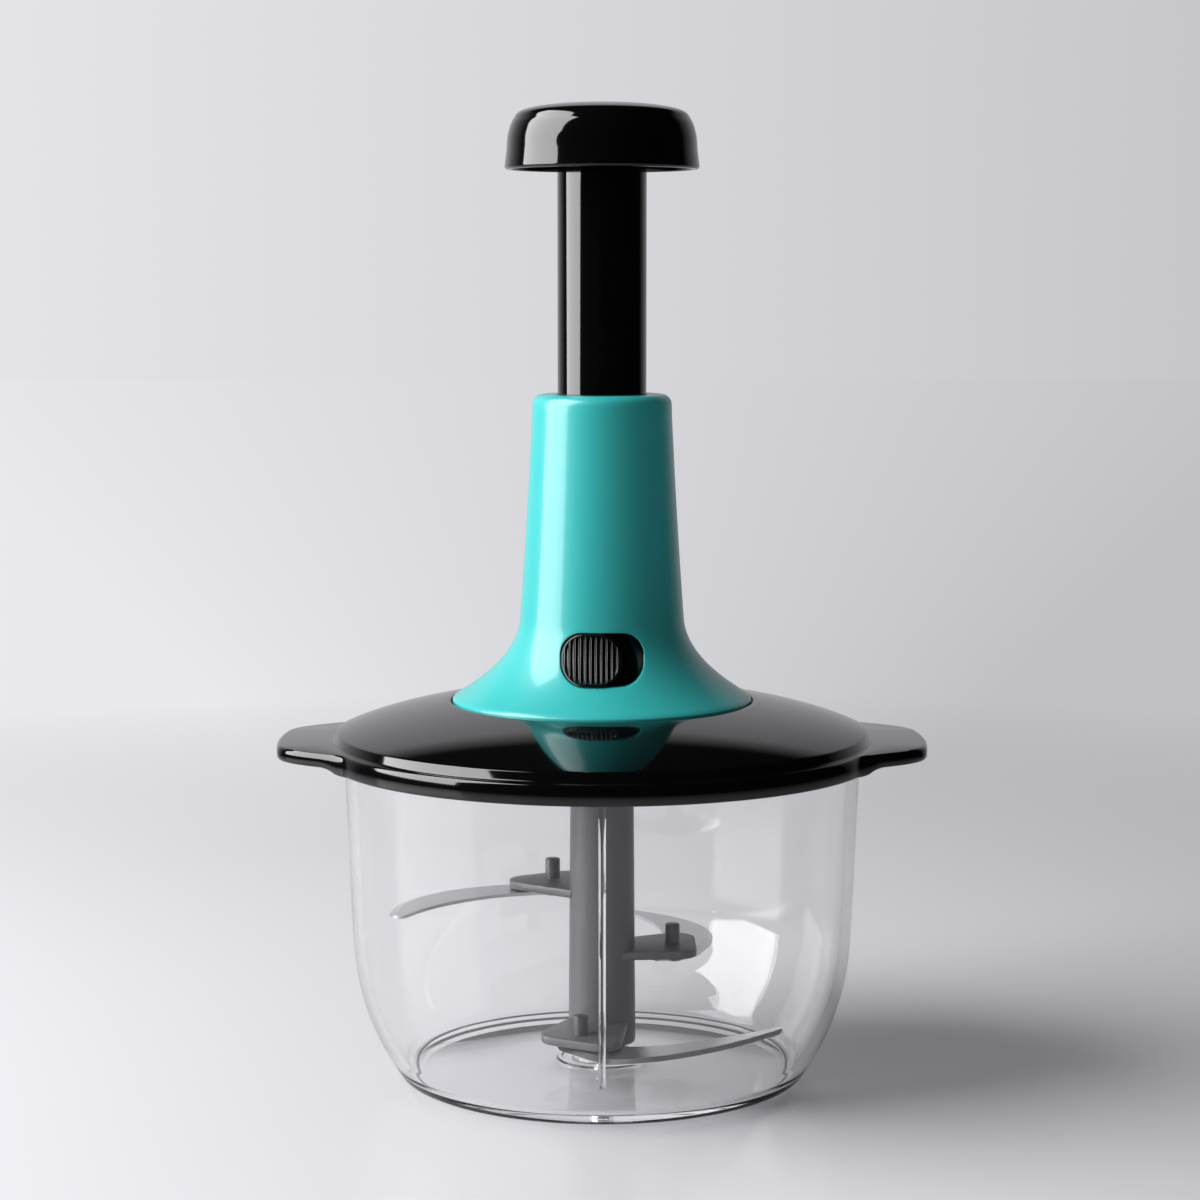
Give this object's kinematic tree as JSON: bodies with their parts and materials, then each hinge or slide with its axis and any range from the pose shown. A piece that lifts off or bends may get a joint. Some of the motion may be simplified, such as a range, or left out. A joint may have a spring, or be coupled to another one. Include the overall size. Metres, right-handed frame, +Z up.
{
  "type": "manual food processor",
  "caption": "Hand push chopper: knob and plunger turn a twisted spindle that spins curved steel blades in a clear lidded bowl.",
  "frame": {"origin": "middle of the bowl's foot, on the surface that it stands on", "axes": "+Z up along the column, -Y to the front with the lock button, ears at +X and -X"},
  "size_m": [0.1956, 0.166, 0.2918],
  "materials": {
    "clear_plastic": "clear moulded plastic, polished",
    "black_plastic": "high gloss moulded black",
    "teal_plastic": "gloss moulded teal",
    "grey_plastic": "satin moulded grey",
    "white_plastic": "natural acetal",
    "seal_rubber": "translucent silicone",
    "blade_steel": "ground stainless steel",
    "steel": "plain bright steel"
  },
  "bodies": {
    "bowl_body": {"bowl": "clear_plastic", "bowl_pin": "steel"},
    "lid_body": {"lid": "black_plastic", "lid_seal": "seal_rubber", "lid_inner_cover": "black_plastic", "hub_cap": "white_plastic", "tower_housing": "teal_plastic", "housing_screw_1": "steel", "housing_screw_2": "steel", "housing_screw_3": "steel", "plunger_guide_bush": "white_plastic", "bearing_plate": "white_plastic", "spindle_bush": "white_plastic", "thrust_washer": "steel", "lock_spring": "steel", "return_spring": "steel"},
    "plunger": {"push_knob": "black_plastic", "plunger_tube": "black_plastic", "knob_core": "white_plastic", "knob_screw": "steel", "drive_nut": "white_plastic", "nut_pin_right": "steel", "nut_pin_left": "steel"},
    "spindle": {"drive_spindle": "steel", "spring_cup": "white_plastic", "clutch_driver": "white_plastic"},
    "output": {"output_drive": "white_plastic", "clutch_spring": "steel"},
    "lock": {"lock_button": "black_plastic", "lock_ring": "white_plastic"},
    "blades": {"blade_column": "grey_plastic", "blade_lower": "blade_steel", "blade_middle": "blade_steel", "blade_upper": "blade_steel", "blade_peg_lower": "grey_plastic", "blade_peg_middle": "grey_plastic", "blade_peg_upper": "grey_plastic"}
  },
  "joints": [
    {"name": "lid_lift", "type": "slide", "parent": "bowl_body", "child": "lid_body", "axis": [0, 0, 1], "range_m": [0, 0.04]},
    {"name": "plunger_press", "type": "slide", "parent": "lid_body", "child": "plunger", "axis": [0, 0, -1], "range_m": [0, 0.06], "stiffness_N_per_m": 250, "springref_m": -0.02, "deforming": ["return_spring"]},
    {"name": "spindle_spin", "type": "hinge", "parent": "lid_body", "child": "spindle", "pos_m": [0, 0, 0.11], "axis": [0, 0, -1], "range_deg": [0, 540]},
    {"name": "output_spin", "type": "hinge", "parent": "lid_body", "child": "output", "pos_m": [0, 0, 0.095], "axis": [0, 0, -1], "range_deg": [0, 540]},
    {"name": "blade_spin", "type": "hinge", "parent": "bowl_body", "child": "blades", "pos_m": [0, 0, 0.024], "axis": [0, 0, -1], "range_deg": [0, 540]},
    {"name": "lock_slide", "type": "hinge", "parent": "lid_body", "child": "lock", "pos_m": [0, 0, 0.13], "axis": [0, 0, 1], "range_deg": [0, 11]}
  ],
  "couplings": [
    {"joint": "spindle_spin", "follows": "plunger_press", "rad_per_m": 157.08},
    {"joint": "output_spin", "follows": "plunger_press", "rad_per_m": 157.08},
    {"joint": "blade_spin", "follows": "plunger_press", "rad_per_m": 157.08}
  ]
}
